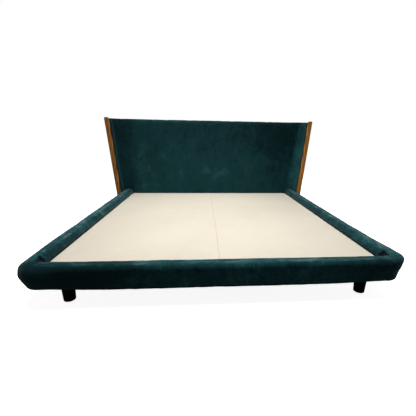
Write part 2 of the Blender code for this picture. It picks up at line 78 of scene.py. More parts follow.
# A wing leans outwards, so its x is stated at its bottom and grows with height.
BOARD_THICKNESS = 0.018
WING_PAD = 0.0143
LEAN = (BOARD_HIGH.x - BOARD_THICKNESS - BOARD_LOW.x) / (BOARD_HIGH.z - BOARD_LOW.z)
WING_X = BOARD_LOW.x - WING_PAD
WING_OUT_X = WING_X + 0.045
WING_OUTSIDE_X = BOARD_LOW.x + BOARD_THICKNESS + GAP
COVE_RADIUS = 0.100
PANEL_BACK = FACE_Y + 0.040

# --- studio: camera, lights and floor -------------------------------------------------------

CAMERA_TURNS = (4.70, 15.46, -0.97)
CAMERA_PLACE = (-0.0978, FACE_Y - 3.4425, 0.8911)
LENS_MM = 23.564
SENSOR_MM = 36.0
LENS_SHIFT = (-0.0400, 0.0095)
LIGHT_TINT = (1.0, 0.985, 0.965)
WHITE = (1.0, 1.0, 1.0, 1.0)
FLOOR_REACH = 30.0

# Soft boxes: name, place, target, size, power, and the angle of the beam in degrees.
LIGHTS = (
    ("over_deck", (0.0, -0.92, 2.90), (0.0, -0.85, 0.2), (2.6, 0.8), 23, 95),
    ("over_back", (0.05, 0.85, 2.90), (0.05, 0.85, 0.2), (2.3, 0.8), 12.5, 95),
    ("over_head", (-0.55, 0.62, 2.75), (-0.15, 0.30, 0.2), (1.8, 0.7), 16.5, 180),
    ("head_front", (-0.3, -0.9, 2.4), (-0.1, 1.1, 0.5), (1.8, 0.7), 5.5, 120),
    ("low_front", (-0.6, -4.5, 0.9), (0.0, -1.0, 0.2), (2.5, 1.2), 4.5, 180),
    ("back_high", (2.2, 4.2, 2.8), (0.0, 1.1, 0.6), (2.5, 1.5), 30, 180),
    ("back_low", (0.9, 4.0, 0.75), (0.0, 1.1, 0.55), (2.5, 0.9), 70, 180),
    ("side_left", (-4.0, -0.3, 0.60), (-1.0, -0.1, 0.25), (2.5, 0.8), 15, 180),
    ("side_right", (4.0, -0.3, 0.60), (1.0, -0.1, 0.25), (2.5, 0.8), 18, 180),
)


def make_camera():
    """The camera looks down a little, from off the foot of the bed and slightly left of its middle."""
    yaw, pitch, roll = (math.radians(angle) for angle in CAMERA_TURNS)
    ahead = Vector((math.sin(yaw) * math.cos(pitch), math.cos(yaw) * math.cos(pitch), -math.sin(pitch)))
    level = Vector((math.cos(yaw), -math.sin(yaw), 0))
    down = ahead.cross(level)
    right = math.cos(roll) * level + math.sin(roll) * down
    below = math.cos(roll) * down - math.sin(roll) * level
    data = bpy.data.cameras.new("camera")
    data.lens = LENS_MM
    data.sensor_width = SENSOR_MM
    data.shift_x, data.shift_y = LENS_SHIFT
    camera = bpy.data.objects.new("camera", data)
    for column, axis in enumerate((right, -below, -ahead)):
        for row in range(3):
            camera.matrix_world[row][column] = axis[row]
    camera.location = CAMERA_PLACE
    bpy.context.scene.collection.objects.link(camera)
    bpy.context.scene.camera = camera


def seen_and_lit(tree, seen, lit):
    """A node that gives one value to what the camera sees and another to what lights the scene."""
    path = tree.nodes.new("ShaderNodeLightPath")
    mix = tree.nodes.new("ShaderNodeMix")
    mix.data_type = "FLOAT"
    mix.inputs["A"].default_value = lit
    mix.inputs["B"].default_value = seen
    tree.links.new(path.outputs["Is Camera Ray"], mix.inputs["Factor"])
    return mix.outputs["Result"]


def make_backdrop():
    """A white surround, which lights the bed only faintly."""
    scene = bpy.context.scene
    scene.view_settings.view_transform = "Standard"
    scene.world = bpy.data.worlds.new("studio")
    scene.world.use_nodes = True
    tree = scene.world.node_tree
    backdrop = tree.nodes["Background"]
    backdrop.inputs["Color"].default_value = WHITE
    tree.links.new(seen_and_lit(tree, seen=1.0, lit=0.05), backdrop.inputs["Strength"])


def make_light(name, place, target, size, power, spread):
    data = bpy.data.lights.new(name, "AREA")
    data.shape = "RECTANGLE"
    data.size, data.size_y = size
    data.energy = power
    data.color = LIGHT_TINT
    data.spread = math.radians(spread)
    light = bpy.data.objects.new(name, data)
    light.location = place
    light.rotation_euler = (Vector(target) - Vector(place)).to_track_quat("-Z", "Y").to_euler()
    bpy.context.scene.collection.objects.link(light)


def floor_paint():
    """Pale paint that glows for the camera, with painted shade: the glow is slightly dimmer round the
    bed than far away.
    """
    paint = Finish("pale_floor", Roughness=0.9, Specular_IOR_Level=0.1, Emission_Color=WHITE)
    # Painted shade: the glow is dimmer near the bed.
    away = paint.node("VectorMath", {0: paint.place}, operation="LENGTH").outputs["Value"]
    fade = paint.node("MapRange", {"Value": away, "From Min": 1.2, "From Max": 3.6,
                                   "To Min": 0.90, "To Max": 1.0}).outputs[0]
    glow = seen_and_lit(paint.tree, seen=1.0, lit=0.0)
    paint.join(paint.math("MULTIPLY", glow, fade), "Emission Strength")
    paint.join(seen_and_lit(paint.tree, seen=0.93, lit=0.25), "Base Color")
    return paint.material


def make_studio():
    make_backdrop()
    for light in LIGHTS:
        make_light(*light)
    bm = bmesh.new()
    bmesh.ops.create_grid(bm, x_segments=8, y_segments=8, size=FLOOR_REACH)
    floor = object_from(bm, "floor")
    floor.data.materials.append(floor_paint())


# --- materials ------------------------------------------------------------------------------


class Finish:
    """A procedural material: a Principled shader with short calls to add nodes to it."""

    def __init__(self, name, **fixed):
        self.material = bpy.data.materials.new(name)
        self.material.use_nodes = True
        self.tree = self.material.node_tree
        self.shader = self.tree.nodes["Principled BSDF"]
        for socket, value in fixed.items():
            self.shader.inputs[socket.replace("_", " ")].default_value = value
        self.place = self.tree.nodes.new("ShaderNodeTexCoord").outputs["Object"]

    def node(self, kind, inputs=(), **settings):
        made = self.tree.nodes.new("ShaderNode" + kind)
        for key, value in settings.items():
            setattr(made, key, value)
        for key, value in dict(inputs).items():
            if isinstance(value, bpy.types.NodeSocket):
                self.tree.links.new(value, made.inputs[key])
            else:
                made.inputs[key].default_value = value
        return made

    def join(self, output, socket):
        self.tree.links.new(output, self.shader.inputs[socket])

    def stretched(self, scale, turn=(0, 0, 0)):
        """The surface's own place, scaled along its axes."""
        return self.node("Mapping", {"Vector": self.place, "Scale": scale, "Rotation": turn}).outputs[0]

    def turned(self, turn, scale):
        """The surface's own place, turned and then scaled along its axes."""
        turned = self.node("VectorRotate", {"Vector": self.place, "Rotation": turn},
                           rotation_type="EULER_XYZ").outputs[0]
        return self.node("VectorMath", {0: turned, 1: scale}, operation="MULTIPLY").outputs[0]

    def rise(self, factor, low, high, amount):
        """0 where the factor is at low, amount where it is at high, and a smooth rise between them."""
        inputs = {"Value": factor, "From Min": low, "From Max": high, "To Max": amount}
        return self.node("MapRange", inputs, interpolation_type="SMOOTHSTEP").outputs[0]

    def noise(self, scale, detail=3.0, rough=0.55, warp=0.0, place=None):
        inputs = {
            "Vector": place or self.place, "Scale": scale, "Detail": detail,
            "Roughness": rough, "Distortion": warp,
        }
        return self.node("TexNoise", inputs).outputs["Fac"]

    def math(self, operation, a, b=0.0):
        return self.node("Math", {0: a, 1: b}, operation=operation).outputs[0]

    def blend(self, weighted):
        """The sum of (output, weight) pairs."""
        total = None
        for output, weight in weighted:
            part = self.math("MULTIPLY", output, weight)
            total = part if total is None else self.math("ADD", total, part)
        return total

    def ramp(self, factor, stops, ease="LINEAR"):
        made = self.node("ValToRGB", {"Fac": factor})
        made.color_ramp.interpolation = ease
        points = made.color_ramp.elements
        while len(points) < len(stops):
            points.new(0.5)
        for point, (position, colour) in zip(points, stops):
            point.position = position
            point.color = (*colour, 1.0)
        return made.outputs["Color"]

    def range(self, factor, low, high):
        """The factor, carried from 0..1 to low..high."""
        inputs = {"Value": factor, "To Min": low, "To Max": high}
        return self.node("MapRange", inputs).outputs[0]

    def bump(self, height, strength, distance, below=None):
        inputs = {"Height": height, "Strength": strength, "Distance": distance}
        if below is not None:
            inputs["Normal"] = below
        return self.node("Bump", inputs).outputs[0]


# The pocket in a front corner is a hollow in the side rail's inner shoulder, from the corner back
# to a fold. Each pair is where a wall of it starts and ends; its upper edge climbs towards the fold.
POCKET_FRONT = (-0.030, -0.016)
POCKET_BACK = (0.056, 0.049)
POCKET_INSIDE = (-0.012, -0.002)
POCKET_EDGE = (0.022, 0.013)
POCKET_CLIMB = 0.22
POCKET_WALL = 0.011
# Painted shade in a pocket: how much darker its velvet is painted.
POCKET_SHADE = -0.8

# Painted shade where the velvet is tucked in beside the deck, from its upper edge down.
TUCK_TOP = DECK_HIGH.z + 0.009
TUCK_DEPTH = 0.012
TUCK_WIDTH = (0.016, 0.006)
TUCK_SHADE = -0.5

# The velvet's colours from darkest to lightest, reached by its random tone and by its painted light,
# sheen and shade.
VELVET_DEEPEST = (0.0016, 0.0055, 0.0070)
VELVET_DARK = (0.0044, 0.0225, 0.0268)
VELVET_MIDDLE = (0.0082, 0.0440, 0.0503)
VELVET_LIGHT = (0.0190, 0.0820, 0.0915)
VELVET_PALEST = (0.0700, 0.1300, 0.1380)


def painted_sheen_streaks(fabric, facing, amount, scale):
    """Painted sheen: long streaks, lighter by amount, on the faces that look up."""
    sheen_marks = fabric.noise(1.0, detail=4.0, rough=0.6, warp=0.3, place=fabric.stretched(scale))
    return fabric.math("MULTIPLY", fabric.rise(sheen_marks, 0.50, 0.66, amount),
                       fabric.rise(facing["Z"], 0.75, 0.95, 1.0))


def painted_pocket_shade(fabric, along):
    """Painted shade: how much darker the velvet is painted in the front corners' pockets and beside the
    deck.
    """
    across = fabric.math("SUBTRACT", fabric.math("ABSOLUTE", along["X"]), RECESS_X)
    back = fabric.math("SUBTRACT", along["Y"], FOOT_Y)
    climb = fabric.math("SUBTRACT", across, fabric.math("MULTIPLY", back, POCKET_CLIMB))
    lengthwise = fabric.math("MULTIPLY", fabric.rise(back, *POCKET_FRONT, 1.0),
                             fabric.rise(back, *POCKET_BACK, 1.0))
    crosswise = fabric.math("MULTIPLY", fabric.rise(across, *POCKET_INSIDE, 1.0),
                            fabric.rise(climb, *POCKET_EDGE, POCKET_SHADE))
    hollow = fabric.math("MULTIPLY", lengthwise, crosswise)
    inwards = fabric.math("MAXIMUM", across, fabric.math("MULTIPLY", back, -1.0))
    tucked = fabric.math("MULTIPLY", fabric.rise(inwards, *TUCK_WIDTH, 1.0),
                         fabric.rise(along["Z"], TUCK_TOP, TUCK_TOP - TUCK_DEPTH, TUCK_SHADE))
    return fabric.math("ADD", hollow, tucked)


def velvet_colour(fabric, lie, contrast, tone):
    spread = 0.5 * contrast
    centre = 0.5 - tone
    stops = [
        (0.0, VELVET_DEEPEST), (centre - spread, VELVET_DARK), (centre, VELVET_MIDDLE),
        (centre + spread, VELVET_LIGHT), (min(1.0, centre + 2 * spread), VELVET_PALEST),
    ]
    return fabric.ramp(lie, stops, "EASE")


def velvet(name, patch, smudge, contrast, facing_light, fades, bloom=0.24, sheen=0.30, stroke=(0.3, 0.5, 0.4),
           streaks=None, shaded_pockets=False, tone=0.0):
    """Teal velvet. Its pile lies this way and that, so that patches of it look lighter or darker.

    patch and smudge are the scales of the broad and the small patches, per metre. facing_light is
    painted light and shade by facing: how much lighter a face turned to +X is painted, and one
    turned upwards. Each fade is (axis, start, end, amount): the colour is painted lighter by amount
    from start to end along that axis, mostly as painted light and shade. bloom is how grey the sheen
    is, and stroke is how the brush marks are turned. streaks is (how much lighter the painted sheen
    streaks along the top are, their scale). shaded_pockets velvet has painted shade in the front
    corners' pockets and beside the deck. tone lightens it all.
    """
    fabric = Finish(
        name, Sheen_Weight=sheen, Sheen_Roughness=0.35, Sheen_Tint=(bloom, 0.82, 0.92, 1.0),
        Specular_IOR_Level=0.05,
    )
    broad = fabric.noise(patch, detail=2.0, warp=0.8)
    brushed = fabric.noise(smudge, detail=4.0, rough=0.62, warp=0.5,
                           place=fabric.stretched((1.0, 1.0, 0.75), (0.3, 0.5, 0.4)))
    marks = fabric.noise(1.0, detail=3.0, rough=0.7,
                         place=fabric.turned(stroke, (smudge * 7, smudge * 4, smudge * 1.6)))
    flecks = fabric.noise(smudge * 8, detail=3.0, rough=0.7)
    facing = fabric.node("SeparateXYZ", {0: fabric.node("NewGeometry").outputs["Normal"]}).outputs
    # Painted light and shade by facing: the first weight paints a face turned to +X lighter, darker
    # below zero, and the second paints a face turned up lighter.
    lie = fabric.blend([(broad, 0.28), (brushed, 0.30), (marks, 0.26), (flecks, 0.16),
                        (facing["X"], facing_light[0])])
    lie = fabric.math("ADD", lie, fabric.rise(facing["Z"], 0.72, 0.98, facing_light[1]))
    # Painted sheen: lighter streaks on the faces that look up.
    if streaks:
        lie = fabric.math("ADD", lie, painted_sheen_streaks(fabric, facing, *streaks))
    along = fabric.node("SeparateXYZ", {0: fabric.place}).outputs
    # Painted light and shade along the axes: each fade lightens by its amount, and darkens where it is
    # below zero.
    for axis, start, end, amount in fades:
        lie = fabric.math("ADD", lie, fabric.rise(along[axis], start, end, amount))
    # Painted shade in the front corners' pockets and beside the deck.
    if shaded_pockets:
        lie = fabric.math("ADD", lie, painted_pocket_shade(fabric, along))
    fabric.join(velvet_colour(fabric, lie, contrast, tone), "Base Color")
    fabric.join(fabric.range(lie, 0.92, 0.70), "Roughness")
    under = fabric.bump(fabric.noise(260.0, detail=3.0), 0.25, 0.0008)
    fabric.join(fabric.bump(fabric.noise(1400.0, detail=2.0), 0.35, 0.0004, below=under), "Normal")
    return fabric.material


def deck_cloth():
    """Cream cloth with a plain weave, a little uneven in tone."""
    cloth = Finish("cream_deck_cloth", Sheen_Weight=0.15, Sheen_Roughness=0.6, Specular_IOR_Level=0.15)
    broad = cloth.noise(1.6, detail=2.0, warp=0.4)
    marks = cloth.noise(14.0, detail=4.0, rough=0.6)
    across = cloth.node("TexWave", {"Vector": cloth.place, "Scale": 190.0, "Distortion": 0.6},
                        bands_direction="X").outputs["Fac"]
    along = cloth.node("TexWave", {"Vector": cloth.place, "Scale": 190.0, "Distortion": 0.6},
                       bands_direction="Y").outputs["Fac"]
    weave = cloth.math("MULTIPLY", across, along)
    tone = cloth.blend([(broad, 0.55), (marks, 0.30), (weave, 0.15)])
    colour = cloth.ramp(tone, [(0.30, (0.67, 0.617, 0.515)), (0.62, (0.73, 0.676, 0.570))])
    cloth.join(colour, "Base Color")
    cloth.join(cloth.range(marks, 0.80, 0.95), "Roughness")
    cloth.join(cloth.bump(weave, 0.35, 0.0006), "Normal")
    return cloth.material


# How far to either side of the middle the boards lie whose tone differs most.
BOARDS_APART = 0.9


def timber(name, dark, light, grain, rough, coat=0.0, contrast=1.0, left=0.0, right=0.0):
    """Wood in three materials, by the axis that its grain runs along. grain is the rings' scale.

    left and right lighten the boards on that side of the bed, or darken them below zero.
    """
    made = {}
    for number, axis in enumerate("XYZ"):
        wood = Finish(
            f"{name}_grain_{axis}", Coat_Weight=coat, Coat_Roughness=0.30, Specular_IOR_Level=0.25,
        )
        across = [26.0, 26.0, 26.0]
        across[number] = 1.1
        place = wood.stretched(across)
        rings = wood.node("TexWave", {"Vector": place, "Scale": grain, "Distortion": 5.0, "Detail": 3.0,
                                      "Detail Scale": 1.2}, wave_type="BANDS",
                          bands_direction="Y" if axis == "X" else "X").outputs["Fac"]
        streaks = wood.noise(3.0, detail=5.0, rough=0.65, place=place)
        pores = wood.noise(20.0, detail=2.0, rough=0.6, place=place)
        figure = wood.blend([(rings, 0.32), (streaks, 0.50), (pores, 0.18)])
        side = wood.node("SeparateXYZ", {0: wood.place}).outputs["X"]
        tone = wood.math("ADD", figure, wood.rise(side, -BOARDS_APART, BOARDS_APART, right - left))
        centre = 0.5 - left
        spread = 0.30 / contrast
        wood.join(wood.ramp(tone, [(centre - spread, dark), (centre + spread, light)]), "Base Color")
        wood.join(wood.range(pores, rough - 0.08, rough + 0.10), "Roughness")
        wood.join(wood.bump(figure, 0.25, 0.0008), "Normal")
        made[axis] = wood.material
    return made


def black_lacquer():
    paint = Finish("black_lacquer", Specular_IOR_Level=0.06)
    wear = paint.noise(35.0, detail=4.0, rough=0.6)
    paint.join(paint.ramp(wear, [(0.35, (0.0018, 0.0017, 0.0016)), (0.75, (0.0060, 0.0056, 0.0052))]),
               "Base Color")
    paint.join(paint.range(wear, 0.38, 0.60), "Roughness")
    paint.join(paint.bump(paint.noise(320.0, detail=2.0), 0.08, 0.0005), "Normal")
    return paint.material


def zinc_steel():
    metal = Finish("zinc_plated_steel", Metallic=1.0)
    spangle = metal.noise(60.0, detail=4.0, rough=0.6, warp=1.0)
    colour = metal.ramp(spangle, [(0.35, (0.36, 0.36, 0.38)), (0.70, (0.58, 0.58, 0.58))])
    metal.join(colour, "Base Color")
    brushed = metal.noise(30.0, detail=3.0, place=metal.stretched((1.0, 1.0, 18.0)))
    metal.join(metal.range(brushed, 0.28, 0.50), "Roughness")
    metal.join(metal.bump(brushed, 0.06, 0.0004), "Normal")
    return metal.material


def black_nylon():
    plastic = Finish("moulded_nylon", Specular_IOR_Level=0.4)
    grain = plastic.noise(500.0, detail=2.0)
    plastic.join(plastic.ramp(grain, [(0.3, (0.022, 0.022, 0.024)), (0.7, (0.034, 0.034, 0.036))]),
                 "Base Color")
    plastic.join(plastic.range(grain, 0.45, 0.60), "Roughness")
    plastic.join(plastic.bump(grain, 0.15, 0.0002), "Normal")
    return plastic.material


def make_materials():
    return {
        # Painted light and shade: faces turned to +X darker and to -X lighter, so the left wing's inner
        # face dark and the right one light; the right side darker, left of the middle lighter, the left
        # cove darker, the top darker.
        "velvet_panel": velvet(
            "velvet_headboard", 3.2, 9.0, 0.36, (-0.18, 0.0),
            [("X", 0.20, 0.92, -0.08), ("X", 0.00, -0.70, 0.05), ("X", -0.84, -0.99, -0.14),
             ("Z", 0.40, 1.07, -0.09)],
            sheen=0.14, stroke=(0.0, 0.7, 0.0),
        ),
        # Painted light and shade: tops lighter, darker towards both ends, with painted sheen streaks
        # along the tops and painted shade in the pockets and beside the deck.
        "velvet_rail": velvet(
            "velvet_side_rails", 5.5, 19.0, 0.165, (-0.01, 0.08),
            [("Y", -0.40, -1.05, -0.03), ("Y", 0.50, 1.00, -0.03)],
            bloom=0.6, sheen=0.24, streaks=(0.20, (36.0, 7.0, 36.0)), shaded_pockets=True,
        ),
        # Painted light and shade: top lighter, both ends darker (the left more), painted sheen streaks
        # along the top, painted shade in the pockets and beside the deck. It is also darker towards its
        # bottom edge.
        "velvet_foot": velvet(
            "velvet_foot_rail", 5.5, 19.0, 0.24, (-0.01, 0.05),
            [("X", -0.10, -0.85, -0.20), ("X", 0.40, 1.00, -0.10), ("Z", 0.120, 0.108, -0.40)],
            bloom=0.6, sheen=0.26, stroke=(0.0, 0.7, 0.0), streaks=(0.18, (6.0, 45.0, 45.0)),
            shaded_pockets=True, tone=0.020,
        ),
        "deck_cloth": deck_cloth(),
        "walnut": timber(
            "walnut", (0.100, 0.032, 0.0045), (0.600, 0.245, 0.038), 0.8, 0.50,
            coat=0.05, contrast=1.4, left=-0.080, right=0.060,
        ),
        "pine": timber("pine", (0.47, 0.29, 0.13), (0.72, 0.53, 0.31), 0.5, 0.62),
        "plywood": timber("birch_plywood", (0.45, 0.30, 0.16), (0.66, 0.50, 0.31), 0.35, 0.66),
        "black_wood": black_lacquer(),
        "steel": zinc_steel(),
        "nylon": black_nylon(),
    }


# --- building padded forms ------------------------------------------------------------------


def walked(corners, spacing):
    """Evenly spaced points round a closed outline, from its corners (a, b, fillet radius)."""
    arcs = []
    for i, (a, b, radius) in enumerate(corners):
        here = Vector((a, b))
        before = (Vector(corners[i - 1][:2]) - here).normalized()
        after = (Vector(corners[(i + 1) % len(corners)][:2]) - here).normalized()
        if radius == 0:
            arcs.append([here])
            continue
        half = before.angle(after) / 2
        centre = here + (before + after).normalized() * (radius / math.sin(half))
        start = here + before * (radius / math.tan(half)) - centre
        sweep = math.pi - 2 * half
        turn = -math.copysign(sweep, before.cross(after))
        steps = max(2, round(radius * sweep / spacing))
        arcs.append([centre + spun(start, turn * step / steps) for step in range(steps + 1)])
    points = []
    for arc, following in zip(arcs, arcs[1:] + arcs[:1]):
        points += arc
        run = following[0] - arc[-1]
        steps = max(1, round(run.length / spacing))
        points += [arc[-1] + run * step / steps for step in range(1, steps)]
    return points


def spun(vector, angle):
    cosine, sine = math.cos(angle), math.sin(angle)
    return Vector((vector.x * cosine - vector.y * sine, vector.x * sine + vector.y * cosine))


def smooth(value, low, high):
    """0 below low, 1 above high, and a smooth rise between them."""
    share = min(1.0, max(0.0, (value - low) / (high - low)))
    return share * share * (3 - 2 * share)


def lump(place, scale, seed):
    """Smooth noise, from -1 to 1, the same each run."""
    return noise.noise(Vector(place) * scale + Vector((seed * 7.31, seed * 3.17, seed * 5.73)))


def object_from(bm, name):
    """A new object of the scene with the mesh that has been built."""
    mesh = bpy.data.meshes.new(name)
    bm.to_mesh(mesh)
    bm.free()
    mesh.shade_smooth()
    obj = bpy.data.objects.new(name, mesh)
    bpy.context.scene.collection.objects.link(obj)
    return obj


END_FACE = 1


def closed_form(name, rings, crisp_ends=False):
    """A closed mesh through rings of points, each ring closed, with its two ends filled. Crisp ends
    are creased round their rims and marked, so that fill_ends_again finds them."""
    bm = bmesh.new()
    rows = [[bm.verts.new(point) for point in ring] for ring in rings]
    for here, there in zip(rows, rows[1:]):
        for i in range(len(here)):
            bm.faces.new((here[i - 1], here[i], there[i], there[i - 1]))
    ends = [bm.faces.new(rows[0]), bm.faces.new(rows[-1])]
    if crisp_ends:
        crease = bm.edges.layers.float.new("crease_edge")
        for end in ends:
            end.material_index = END_FACE
            for edge in end.edges:
                edge[crease] = 1.0
                edge.smooth = False
    bmesh.ops.triangulate(bm, faces=ends)
    bmesh.ops.recalc_face_normals(bm, faces=bm.faces)
    return object_from(bm, name)


def fill_ends_again(obj):
    """Takes out the faces of a form's crisp ends, and spans its moved rims with new ones."""
    bm = bmesh.new()
    bm.from_mesh(obj.data)
    ends = [face for face in bm.faces if face.material_index == END_FACE]
    bmesh.ops.delete(bm, geom=ends, context="FACES")
    rims = [edge for edge in bm.edges if edge.is_boundary]
    ends = bmesh.ops.holes_fill(bm, edges=rims, sides=0)["faces"]
    bmesh.ops.triangulate(bm, faces=ends)
    bmesh.ops.recalc_face_normals(bm, faces=bm.faces)
    bm.to_mesh(obj.data)
    bm.free()


def points_of(mesh, kind="co"):
    """The mesh's points as rows of an array, or their normals where kind is normal."""
    flat = np.empty(len(mesh.vertices) * 3, np.float32)
    mesh.vertices.foreach_get(kind, flat)
    return flat.reshape(-1, 3).astype(float)


def set_points(mesh, points):
    mesh.vertices.foreach_set("co", np.asarray(points, np.float32).ravel())
    mesh.update()


def sculpt(obj, depth, steer=None):
    """Moves each point along its normal by depth(place, normal), in metres. steer(place, normal) may
    give another direction to move in."""
    points, normals = points_of(obj.data), points_of(obj.data, "normal")
    if steer:
        pairs = zip(points, normals)
        normals = np.array([steer(Vector(point), Vector(normal)) for point, normal in pairs])
    moves = [depth(Vector(point), Vector(normal)) for point, normal in zip(points, normals)]
    set_points(obj.data, points + normals * np.array(moves)[:, None])


def subdivide(obj):
    modifier = obj.modifiers.new("smooth_cloth", "SUBSURF")
    modifier.levels = modifier.render_levels = 1
    with bpy.context.temp_override(object=obj, active_object=obj):
        bpy.ops.object.modifier_apply(modifier=modifier.name)


def finish_piece(obj, finish, body, nodes):
    """Gives a padded piece its material and its body, and hides the CAD nodes that it stands for."""
    obj.data.materials.clear()
    obj.data.materials.append(finish)
    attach(obj, body)
    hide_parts(*nodes)


# --- velvet over foam, relaxed as cloth -----------------------------------------------------

CLOTH_FRAMES = 20


def hold(obj, weight):
    """Says how firmly each point is held to its foam: weight(place), 1 where it is fixed."""
    group = obj.vertex_groups.new(name="held")
    for vertex in obj.data.vertices:
        group.add([vertex.index], weight(vertex.co), "REPLACE")


def add_cloth(obj, slack, pressure):
    cloth = obj.modifiers.new("cloth", "CLOTH")
    settings = cloth.settings
    settings.quality = 6
    settings.mass = 0.3
    settings.tension_stiffness = settings.compression_stiffness = 25.0
    settings.shear_stiffness = 15.0
    settings.bending_stiffness = 1.5
    settings.vertex_group_mass = "held"
    settings.pin_stiffness = 1.0
    settings.shrink_min = -slack
    settings.use_pressure = True
    settings.uniform_pressure_force = pressure
    settings.effector_weights.gravity = 0.0
    cloth.point_cache.frame_start = 1
    cloth.point_cache.frame_end = CLOTH_FRAMES
    cloth.collision_settings.use_collision = False
    cloth.collision_settings.use_self_collision = False


def relax(pieces):
    """Runs the cloth of all pieces together, and applies it. pieces says how far a point of each
    may move."""
    scene = bpy.context.scene
    scene.frame_start, scene.frame_end = 1, CLOTH_FRAMES
    for step in range(1, CLOTH_FRAMES + 1):
        scene.frame_set(step)
    graph = bpy.context.evaluated_depsgraph_get()
    for obj, most in pieces.items():
        start = points_of(obj.data)
        moved = points_of(obj.evaluated_get(graph).data)
        move = moved - start
        length = np.linalg.norm(move, axis=1, keepdims=True)
        share = most * np.tanh(length / most) / np.maximum(length, 1e-9)
        obj.modifiers.remove(obj.modifiers["cloth"])
        set_points(obj.data, start + move * share)
    scene.frame_set(1)


# --- padded rails ---------------------------------------------------------------------------

RAIL_SPACING = 0.011
SECTION_SPACING = 0.009
INNER_SHOULDER = 0.042
OUTER_SHOULDER = 0.038
BULGE_ROUND = 0.025
FOOT_ROUND = 0.018
CREST_U = RAIL_WIDTH - 0.0015
BULGE_Z = 0.178
RAIL_FOOT_U = 0.076
LIP_BOTTOM = 0.160
CORNER_RADIUS = 0.006
MITRE = math.radians(45) - 0.003
TURN_STEPS = 9


def rail_section():
    """Section of a padded rail (u outwards from the recess, z), hooked over its core board."""
    return walked([
        (0.0, LIP_BOTTOM, 0),
        (0.0, RAIL_TOP, INNER_SHOULDER),
        (CREST_U, RAIL_TOP, OUTER_SHOULDER),
        (RAIL_WIDTH, BULGE_Z, BULGE_ROUND),
        (RAIL_FOOT_U, RAIL_BOTTOM, FOOT_ROUND),
        (CORE_OUT, RAIL_BOTTOM, 0),
        (CORE_OUT, CORE_TOP, 0),
        (CORE_IN, CORE_TOP, 0),
        (CORE_IN, LIP_BOTTOM, 0),
    ], SECTION_SPACING)


def turned_rings(section, centre, first, last):
    """Rings of the section carried round a corner, between two headings in plan."""
    rings = []
    for step in range(TURN_STEPS + 1):
        heading = first + (last - first) * step / TURN_STEPS
        out = Vector((math.cos(heading), math.sin(heading)))
        rings.append([
            (centre[0] + out.x * (CORNER_RADIUS + u), centre[1] + out.y * (CORNER_RADIUS + u), z)
            for u, z in section
        ])
    return rings


def make_foot_rail():
    section = rail_section()
    turn_x, turn_y = RECESS_X - CORNER_RADIUS, FOOT_Y + CORNER_RADIUS
    south = math.radians(270)
    rings = turned_rings(section, (-turn_x, turn_y), south - MITRE, south)
    steps = round(2 * turn_x / RAIL_SPACING)
    rings += [
        [(-turn_x + 2 * turn_x * step / steps, FOOT_Y - u, z) for u, z in section]
        for step in range(1, steps)
    ]
    rings += turned_rings(section, (turn_x, turn_y), south, south + MITRE)
    return closed_form("foot_rail_velvet", rings, crisp_ends=True)


COVE_END = 0.004
BENDS_FROM = 0.90


def rail_end(u, z):
    """The y where a side rail's pad meets the headboard, its cove or its wing's trim."""
    x = RECESS_X + u
    inside = WING_X + LEAN * (z - WING_BOTTOM)
    start = inside - COVE_RADIUS
    if x <= start:
        return FACE_Y - GAP
    if x >= inside - COVE_END:
        return TRIM_LOW.y - 2 * GAP
    return FACE_Y - GAP - COVE_RADIUS + math.sqrt(COVE_RADIUS ** 2 - (x - start) ** 2)


def make_side_rail(side):
    section = rail_section()
    turn_x, turn_y = RECESS_X - CORNER_RADIUS, FOOT_Y + CORNER_RADIUS
    rings = turned_rings(section, (turn_x, turn_y), -MITRE, 0.0)
    length = FACE_Y - turn_y
    steps = round(length / RAIL_SPACING)
    for step in range(1, steps + 1):
        share = step / steps
        y = turn_y + length * share
        bend = smooth(share, BENDS_FROM, 1.0)
        rings.append([(RECESS_X + u, y + (rail_end(u, z) - FACE_Y) * bend, z) for u, z in section])
    rings = [[(side * x, y, z) for x, y, z in ring] for ring in rings]
    return closed_form("side_rail_velvet_" + SIDES[side], rings, crisp_ends=True)


def beside_mitre(place):
    """How far a place is from the mitre plane of its nearest front corner."""
    return abs((abs(place.x) - RECESS_X) - (FOOT_Y - place.y)) / math.sqrt(2)


def from_corner(place):
    return math.hypot(abs(place.x) - RECESS_X, place.y - FOOT_Y)


STAPLE_REACH = 0.002
END_HOLD = 0.02
MITRE_HOLD = 0.003
FOAM_HOLD = 0.10


def rail_firmness(place):
    """The lip, the hook over the core board and the ends are stapled; the rest lies on foam."""
    inside = max(abs(place.x) - RECESS_X, FOOT_Y - place.y)
    stapled = inside < CORE_OUT + STAPLE_REACH and place.z < CORE_TOP + STAPLE_REACH
    ends = place.y > FACE_Y - END_HOLD or beside_mitre(place) < MITRE_HOLD
    return 1.0 if stapled or ends else FOAM_HOLD


# How far a rail's velvet departs from its even section, and where, in metres. The pitch of the
# gathers is in radians per metre.
SQUARED = 0.0075
BELLY = 0.005
BELLY_Z = 0.165
BELLY_HEIGHT = 0.035
CREST_CLIMB = 0.0035
FOOT_FULLNESS = 0.010
OUTSIDE_U = 0.05
DECK_GROOVE = 0.0028
GROOVE_U = 0.012
MITRE_GROOVE = 0.0032
MITRE_GROOVE_WIDTH = 0.0065
GATHER = 0.0022
GATHER_PITCH = 210.0
GATHER_RUN = 0.035
GATHERED_REACH = 0.30


def rail_unevenness(place, seed):
    """Lumps in a rail's foam, which die out at the mitres so that two rails meet there."""
    lumps = 0.0010 * lump(place, 6.0, seed) + 0.0008 * lump(place, 22.0, seed + 1)
    lumps += 0.0004 * lump(place, 70.0, seed + 2)
    return lumps * smooth(beside_mitre(place), 0.0, 0.04)


